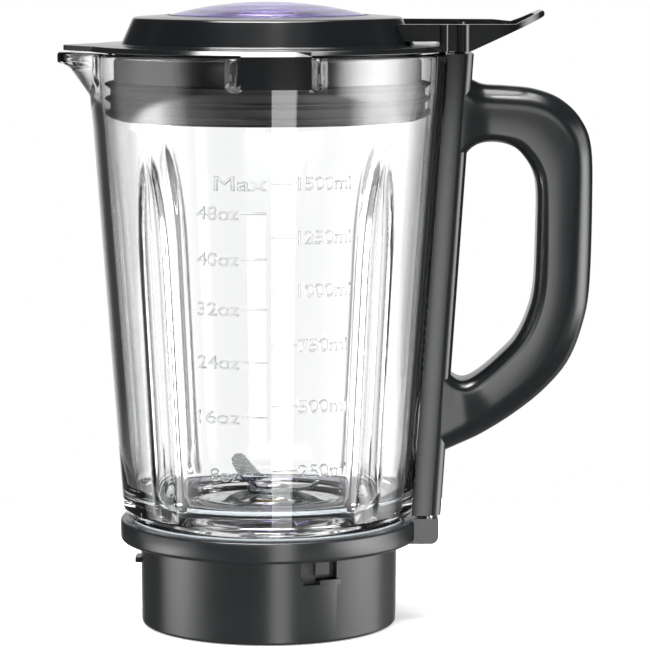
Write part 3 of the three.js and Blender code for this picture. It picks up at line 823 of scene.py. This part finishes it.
def seat_plate():
    profile = rounded(
        [
            (12.5, 45.9, 0),
            (33, 45.9, 0.3),
            (33, 46.9, 0.5),
            (27.5, 46.9, 1.5),
            (25.5, 48.0, 1.5),
            (17, 48.0, 0.6),
            (16.4, 47.8, 0),
            (12.5, 47.8, 0),
        ]
    )
    piece("seat", spun(profile, steps=180), bright_steel, "blade_unit", ["seat_plate"])


def housing():
    profile = rounded(
        [(7.2, 14, 0.4), (12, 14, 0.6), (12, 47.9, 0.1), (16, 47.9, 0.3), (15, 49.2, 0.8), (7.2, 49.2, 0.4)]
    )
    tube = spun(profile, 96)
    piece("bearing_tube", tube, bright_steel, "blade_unit", ["bearing_housing"])


def toothed(points, teeth):
    """A curve through the points with teeth cut into its left side."""
    result = []
    for i in range(teeth * 2 + 1):
        here = spline(points, i / (teeth * 2))
        ahead = spline(points, min(1.0, i / (teeth * 2) + 0.02)) - spline(points, i / (teeth * 2) - 0.02)
        normal = Vector((-ahead.y, ahead.x)).normalized()
        result.append(here + normal * (TOOTH_DEPTH if i % 2 else 0.0))
    return result


def blade_arm(seat, outline, bends, azimuth):
    """An arm cut from strip along its outline, then folded up at each (distance from the axis, degrees)."""
    bm = bmesh.new()
    verts = [bm.verts.new((x * MM, y * MM, 0)) for x, y in outline]
    bm.faces.new(verts)
    folds = []
    pieces = 6
    for distance, angle in bends:
        for k in range(pieces):
            folds.append((distance + 2.4 * k / pieces, angle / pieces))
    for distance, _ in folds:
        scored(bm, distance)
    for distance, angle in reversed(folds):
        beyond = [vert for vert in bm.verts if vert.co.x > distance * MM + 1e-6]
        turn = Matrix.Rotation(math.radians(-angle), 3, "Y")
        bmesh.ops.rotate(bm, verts=beyond, cent=(distance * MM, 0, 0), matrix=turn)
    bmesh.ops.triangulate(bm, faces=[face for face in bm.faces if len(face.verts) > 4])
    bmesh.ops.recalc_face_normals(bm, faces=bm.faces)
    bmesh.ops.solidify(bm, geom=bm.faces, thickness=BLADE_THICK * MM)
    low = min(vert.co.z for vert in bm.verts if vert.co.x < bends[0][0] * MM * 0.9)
    bmesh.ops.translate(bm, verts=bm.verts, vec=(0, 0, STAND + seat * MM - low))
    turned(bm, azimuth)
    return bm


def hub(seat):
    top = seat + BLADE_THICK
    return spun(rounded([(3.3, seat, 0.1), (9, seat, 0.2), (9, top, 0.3), (3.3, top, 0.2)]), steps=72)


def blades():
    sweeping = [(-2, -5.5), *toothed([(8, -3.6), (16, 0.6), (21, 4.4), (26, 8.6)], 15)]
    sweeping += [(27.4, 10.6), (27.2, 13.2), (25.4, 14.8), (22.6, 14.4), (16.5, 11.2), (9, 6.6), (-2, 5.5)]
    hooked = [(-2, -5), (8, -5), *toothed([(8, -5), (14, -4.4), (20, -2.5)], 9), (23.5, -3.5), (22, 1.0)]
    hooked += [(19, 4.5), (8, 5), (-2, 5)]
    long_arm = [(-2, -5.2), *toothed([(8, -5.2), (16, -5.0), (25, -2.2)], 12), (27.8, 0.4), (27.4, 3.0)]
    long_arm += [(24, 4.8), (8, 5.2), (-2, 5.2)]
    short_arm = [(x * 0.84, y) for x, y in long_arm]
    lower = joined(
        hub(LOWER_SEAT),
        blade_arm(LOWER_SEAT, short_arm, ((9, -16), (15, -14)), 202),
        blade_arm(LOWER_SEAT, long_arm, ((9, -14), (18, -12)), 338),
    )
    piece(
        "lower_blades", lower, blade_steel, "spindle", ["lower_blade"], bevel=0.12, segments=2
    )
    upper = joined(
        hub(UPPER_SEAT),
        blade_arm(UPPER_SEAT, sweeping, ((9, 28), (15.8, 46)), UPPER_ARM_AZIMUTH),
        blade_arm(UPPER_SEAT, hooked, ((9, 6), (17, 30)), 350),
    )
    piece(
        "upper_blades", upper, blade_steel, "spindle", ["upper_blade"], bevel=0.12, segments=2
    )


def cap_nut():
    low, high = UPPER_SEAT + 1.8, UPPER_SEAT + 4.4
    ends = [(0, low, 0), (5.1, low, 0), (6.2, low + 0.6, 0)]
    ends += [(6.2, high - 0.6, 0), (5.1, high, 0), (0, high, 0)]
    nut = combined(rod(0, 0, low, high, 6, 6), spun(rounded(ends), 48, closed=False), "INTERSECT")
    piece("nut", nut, bright_steel, "spindle", ["blade_nut"], bevel=0.15)


def drive_coupling():
    body = spun(rounded([(0, 4, 0), (14, 4, 1.0), (14, 11.5, 0.8), (0, 11.5, 0)]), 120, closed=False)
    for i in range(6):
        angle = math.radians(60 * i)
        flute = rod(14.5 * math.cos(angle), 14.5 * math.sin(angle), 2, 14, 3, 32)
        body = combined(body, flute, "DIFFERENCE")
    piece("coupling", body, holder_plastic, "spindle", ["drive_coupling"], bevel=0.3)


# ---------------------------------------------------------------- lid


def arm_width(x):
    """Half the width of the lift arm at x: straight sides and a rounded end."""
    t = ramp(x, 92, 113.4)
    return ARM_HALF * math.sqrt(max(0.0, 1 - t**2.6)) + 0.2


def lift_arm():
    side = rounded(
        [
            (50, 240.8, 0),
            (69.5, 240.8, 0.4),
            (69.5, LID_UNDERSIDE, 0.4),
            (82.0, LID_UNDERSIDE, 3),
            (112.9, 251.0, 1.2),
            (112.2, 253.4, 1.0),
            (100.2, 247.7, 1.5),
            (46, 247.7, 0),
            (46, 244, 0),
        ],
        steps=4,
    )
    bm = slab(side, -ARM_HALF, ARM_HALF)
    for i in range(22):
        scored(bm, 92 + 21 * math.sin((i + 0.5) / 22 * math.pi / 2))
    for vert in bm.verts:
        x, y, height = vert.co.x / MM, vert.co.y / MM, (vert.co.z - STAND) / MM
        vert.co.y *= arm_width(x) / ARM_HALF
        if height > 245:
            vert.co.z += REAR_WALL_RISE * MM * ramp(y, -12, 18) * (1 - ramp(x, 90, 104))
    tray_outline = [(40, -17.8, 0), (97, -17.8, 3), (97, 17.8, 3), (40, 17.8, 0)]
    tray = slab(rounded(tray_outline, steps=4), 243.6, 262, "XY")
    loop_outline = [(88, -17.4, 1), (100, -17.0, 5), (108.5, -10.5, 6)]
    loop_outline += [(108.5, 10.5, 6), (100, 17.0, 5), (88, 17.4, 1)]
    loop = slab(rounded(loop_outline), 225, 262, "XY")
    bm = combined(cleaned(bm), tray, "DIFFERENCE")
    bm = combined(bm, loop, "DIFFERENCE")
    posts = []
    for side_of in (-1, 1):
        for x, radius in ((71.5, 2.0), (79.0, 2.9)):
            posts.append(rod(x, side_of * (21.8 - radius), LID_UNDERSIDE - 0.1, 247.7, radius, 40))
    boss = rod(78.2, 0, LID_UNDERSIDE - 0.2, 245.6, 5, 40)
    return joined(bm, *posts, boss)


def lid_tongue():
    """The part of the lid's flange that covers the spout."""
    outline = [(-60, -23, 0), (-70.5, -20.5, 4), (-83.4, -3, 4)]
    outline += [(-83.4, 3, 4), (-70.5, 20.5, 4), (-60, 23, 0)]
    return slab(rounded(outline, steps=8), LID_UNDERSIDE, 238.9, "XY")


def lid_tab(side):
    """The tab that hangs over the glass rim on one side, -1 for the front, and the strip that holds it."""
    low, high = (-9.1, 18.3) if side < 0 else (-18.3, 9.1)
    steps = 10
    across = [low + (high - low) * i / steps for i in range(steps + 1)]
    heights = (TAB_FOOT, 226, 230, 234, LID_UNDERSIDE + 0.1)
    sections = []
    for height, outer in [(height, TAB_OUTER) for height in heights] + [(238.8, 75.5)]:
        ring = [at(x, side * math.sqrt(outer**2 - x * x), height) for x in across]
        ring += [at(x, side * math.sqrt(TAB_INNER**2 - x * x), height) for x in reversed(across)]
        sections.append(ring)
    outline = [(low, side * 60, 0), (high, side * 60, 0), (high, side * 74.6, 0.5), (low, side * 74.6, 0.5)]
    bridge = slab(rounded(outline), LID_UNDERSIDE + 0.1, 238.7, "XY")
    return lofted(sections), bridge


def lid_cover():
    profile = rounded(
        [
            (34, 243, 0.4),
            (42, 243, 0.6),
            (42, 247.5, 0.6),
            (52, 247.5, 1),
            (57, 239.8, 1),
            (57, LID_UNDERSIDE, 0.4),
            (74, LID_UNDERSIDE, 0.3),
            (74, 237.2, 0.2),
            (72.7, 239, 0.7),
            (59.8, 239.2, 1.2),
            (54.9, 250.2, 1.5),
            (41.2, 251.2, 0.8),
            (40.6, 245.5, 0.5),
            (34, 245.5, 0.4),
        ],
        steps=6,
    )
    cover = spun(profile, steps=240)
    whole = joined(cover, lid_tongue(), *lid_tab(-1), *lid_tab(1), lift_arm())
    piece("lid", whole, lid_plastic, "lid", ["lid_cover"], bevel=0.45)


def lid_plug():
    profile = rounded(
        [
            (34.5, 209, 0.8),
            (62, 209, 1.5),
            (63, 210.5, 0.8),
            (63, 236.4, 0.5),
            (60.5, 236.4, 0.5),
            (60.5, 211.5, 1.5),
            (37, 211.5, 1),
            (37, 242.6, 0.5),
            (34.5, 242.6, 0.5),
        ]
    )
    piece("plug", spun(profile, 240), lid_plastic, "lid", ["lid_plug"])


def lid_seal():
    corners = [(63.3, 210.4, 0.2)]
    for fin in (211.7, 217.5, 223.3):
        corners += [(64.4, fin - 1.6, 0.4), (66.7, fin + 0.1, 0.25)]
        corners += [(66.7, fin + 0.6, 0.25), (64.4, fin + 0.9, 0.4)]
    corners.append((63.3, 224.8, 0.2))
    ring = spun(rounded(corners, steps=3), 240)
    piece("plug_seal", ring, rubber, "lid", ["lid_seal"])


def filler_cap():
    reach, rise = 39.8, CAP_APEX - 251.3
    sphere = (reach**2 + rise**2) / (2 * rise)

    def dome(radius, below=0.0):
        return CAP_APEX - sphere + math.sqrt((sphere - below) ** 2 - radius**2)

    steps = [reach * math.sin(i / 16 * math.pi / 2) for i in range(1, 15)]
    corners = [
        *[(radius, dome(radius, CAP_THICK), 0) for radius in (0, 5, 10, 15)],
        (21.2, dome(21.2, CAP_THICK), 0.6),
        (21.2, 247.0, 0.8),
        (23.6, 247.0, 0.8),
        (23.6, dome(23.6, CAP_THICK), 0.6),
        (29, dome(29, CAP_THICK), 1.2),
        (29, 226, 0.8),
        (31.5, 226, 0.8),
        (31.5, 248.6, 0.8),
        (39.3, 248.6, 0.6),
        (39.8, dome(39.8), 0.8),
        *[(radius, dome(radius), 0) for radius in reversed(steps)],
        (0, CAP_APEX, 0),
    ]
    cap = spun(rounded(corners, closed=False, steps=5), 240, closed=False)
    piece("cap", cap, cap_plastic, "cap", ["filler_cap"], sharp=60)


# ---------------------------------------------------------------- finishes of the CAD nodes that stay


def finish_kept_nodes():
    finishes = {
        "handle_screw_front": bright_steel,
        "handle_screw_back": bright_steel,
        "interlock_rod": holder_plastic,
        "interlock_spring": spring_steel,
        "jug_gasket": silicone,
        "holder_gasket": rubber,
        "lower_bearing": bronze,
        "upper_bearing": bronze,
        "shaft_seal": rubber,
        "blade_shaft": bright_steel,
        "retaining_ring": spring_steel,
        "lower_thrust_washer": bronze,
        "upper_thrust_washer": bronze,
        "blade_seat_washer": bright_steel,
        "blade_spacer": bright_steel,
        "cap_seal": rubber,
    }
    for node, finish in finishes.items():
        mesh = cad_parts[node].data
        mesh.materials.clear()
        mesh.materials.append(finish)


# ---------------------------------------------------------------- stage, light and camera


def stage():
    """A pale round table top for the camera and for soft light. Other rays look past it, to the studio."""
    made, nodes, links, shader = blank_material("studio floor")
    set_values(shader, {"Base Color": (0.95, 0.95, 0.95, 1), "Roughness": 0.9})
    set_values(shader, {"Emission Color": (1, 1, 1, 1), "Emission Strength": 0.45})
    path = nodes.new("ShaderNodeLightPath")
    meant = nodes.new("ShaderNodeMath")
    meant.operation = "MAXIMUM"
    links.new(path.outputs["Is Camera Ray"], meant.inputs[0])
    links.new(path.outputs["Is Diffuse Ray"], meant.inputs[1])
    through = nodes.new("ShaderNodeBsdfTransparent")
    mix = nodes.new("ShaderNodeMixShader")
    links.new(meant.outputs[0], mix.inputs[0])
    links.new(through.outputs[0], mix.inputs[1])
    links.new(shader.outputs[0], mix.inputs[2])
    links.new(mix.outputs[0], nodes["Material Output"].inputs["Surface"])
    bm = bmesh.new()
    below = Matrix.Translation((0, 0, STAND - 0.0003))
    bmesh.ops.create_circle(bm, cap_ends=True, segments=96, radius=0.3, matrix=below)
    floor = loose_object(bm, "floor")
    floor.data.materials.append(made)


# Brightness of the studio wall by degrees round the object, from straight towards the camera, over the
# left: above the lid, at the height of the lid and the glass, and at the height of the collar.
HIGH_BANDS = (
    *((0, 3.0), (30, 3.0), (44, 0.1), (64, 0.8), (112, 0.6), (120, 0.05), (158, 0.05), (168, 0.8)),
    *((192, 0.8), (202, 0.05), (240, 0.05), (262, 3.0), (296, 4.0), (315, 0.1), (338, 0.1), (345, 3.0)),
)
BACK_BANDS = ((164, 0.5), (171, 0.85), (176, 1.05), (184, 1.05), (189, 0.85), (196, 0.5))
UPPER_BANDS = (
    *((0, 0.1), (49, 0.05), (55, 0.5), (64, 1.6), (86, 1.5), (112, 0.7), (120, 0.05), (158, 0.05)),
    *BACK_BANDS,
    *((202, 0.05), (240, 0.05), (247, 1.5), (262, 4.5), (271, 7.0), (284, 8.5)),
    *((296, 7.0), (308, 3.0), (315, 0.1)),
)
LOWER_BANDS = (
    *((0, 0.05), (30, 0.2), (52, 0.8), (66, 4.0), (76, 8.0), (86, 8.0), (100, 4.0), (114, 0.1), (158, 0.1)),
    *BACK_BANDS,
    *((202, 0.1), (236, 0.5), (246, 3.0), (268, 7.0), (288, 7.0), (304, 1.2), (330, 0.6), (350, 0.1)),
)


def band_ramp(nodes, links, turn, bands):
    ramp_node = nodes.new("ShaderNodeValToRGB")
    stops = ramp_node.color_ramp.elements
    for _ in bands[2:]:
        stops.new(0.5)
    for stop, (degrees, light) in zip(stops, bands):
        stop.position = degrees / 360
        stop.color = (light, light, light, 1)
    links.new(turn.outputs["Result"], ramp_node.inputs["Fac"])
    return ramp_node.outputs["Color"]


def mapped(nodes, links, source, low, high):
    """A smooth step from 0 where the source is low to 1 where it is high."""
    node = nodes.new("ShaderNodeMapRange")
    node.interpolation_type = "SMOOTHSTEP"
    set_values(node, {"From Min": low, "From Max": high})
    links.new(source, node.inputs["Value"])
    return node.outputs["Result"]


def colour_mix(nodes, links, factor, first, second):
    """Mixes two colours, each of them a socket or a brightness."""
    node = nodes.new("ShaderNodeMix")
    node.data_type = "RGBA"
    for label, value in (("A", first), ("B", second)):
        if isinstance(value, float):
            node.inputs[label].default_value = (value, value, value, 1)
        else:
            links.new(value, node.inputs[label])
    links.new(factor, node.inputs["Factor"])
    return node.outputs["Result"]


def studio_world():
    """White for the camera and soft light. Reflected and refracted rays meet panels and dark gaps instead."""
    world = bpy.data.worlds.new("studio")
    SCENE.world = world
    world.use_nodes = True
    nodes, links = world.node_tree.nodes, world.node_tree.links
    place = nodes.new("ShaderNodeTexCoord")
    split = nodes.new("ShaderNodeSeparateXYZ")
    links.new(place.outputs["Generated"], split.inputs[0])
    azimuth = nodes.new("ShaderNodeMath")
    azimuth.operation = "ARCTAN2"
    links.new(split.outputs["X"], azimuth.inputs[0])
    links.new(split.outputs["Y"], azimuth.inputs[1])
    turn = nodes.new("ShaderNodeMapRange")
    turn.inputs["From Min"].default_value = -math.pi
    turn.inputs["From Max"].default_value = math.pi
    links.new(azimuth.outputs[0], turn.inputs["Value"])
    up = split.outputs["Z"]
    high = band_ramp(nodes, links, turn, HIGH_BANDS)
    upper = band_ramp(nodes, links, turn, UPPER_BANDS)
    lower = band_ramp(nodes, links, turn, LOWER_BANDS)
    panels = colour_mix(nodes, links, mapped(nodes, links, up, -0.2, -0.18), lower, upper)
    beside = nodes.new("ShaderNodeMath")
    beside.operation = "MULTIPLY"
    links.new(mapped(nodes, links, up, -0.3, -0.36), beside.inputs[0])
    links.new(mapped(nodes, links, split.outputs["Y"], 0.5, 0.3), beside.inputs[1])
    panels = colour_mix(nodes, links, beside.outputs[0], panels, 0.2)
    panels = colour_mix(nodes, links, mapped(nodes, links, up, 0.04, 0.1), panels, high)
    panels = colour_mix(nodes, links, mapped(nodes, links, up, 0.34, 0.48), panels, 0.08)
    path = nodes.new("ShaderNodeLightPath")
    straight = colour_mix(nodes, links, path.outputs["Is Camera Ray"], 0.3, 1.0)
    direct = nodes.new("ShaderNodeMath")
    direct.operation = "MAXIMUM"
    links.new(path.outputs["Is Camera Ray"], direct.inputs[0])
    links.new(path.outputs["Is Diffuse Ray"], direct.inputs[1])
    seen = colour_mix(nodes, links, direct.outputs[0], panels, straight)
    links.new(seen, nodes["Background"].inputs["Color"])


def area_light(name, degrees, distance, height, size, radiance, aim=0.13):
    """A softbox that glows with the same radiance all over. Its degrees are counted like the wall's."""
    data = bpy.data.lights.new(name, "AREA")
    data.shape = "RECTANGLE"
    data.size, data.size_y = size
    data.energy = radiance * math.pi * size[0] * size[1]
    lamp = bpy.data.objects.new(name, data)
    SCENE.collection.objects.link(lamp)
    turn = math.radians(degrees)
    lamp.location = (-distance * math.sin(turn), -distance * math.cos(turn), height)
    lamp.rotation_euler = (Vector((0, 0, aim)) - lamp.location).to_track_quat("-Z", "Y").to_euler()


def lights():
    area_light("overhead", 0, 0.15, 1.3, (1.0, 0.9), 10)
    area_light("front overhead", 24, 0.36, 1.1, (0.76, 0.26), 26)
    area_light("strip", 349.3, 0.423, -0.03, (0.11, 0.43), 4.2, aim=-0.03)


def camera():
    data = bpy.data.cameras.new("camera")
    data.lens = 180.5
    data.sensor_width = 36
    shot = bpy.data.objects.new("camera", data)
    SCENE.collection.objects.link(shot)
    shot.location = at(23.4, -1336, 287.5)
    shot.rotation_euler = (math.radians(90 - 7.0), 0, 0)
    SCENE.camera = shot


camera()
stage()
studio_world()
lights()
SCENE.view_settings.view_transform = "Standard"

glass_jug()
scale_marks()
handle()
base_collar()
blade_holder()
seat_plate()
housing()
blades()
cap_nut()
drive_coupling()
lid_cover()
lid_plug()
lid_seal()
filler_cap()
finish_kept_nodes()
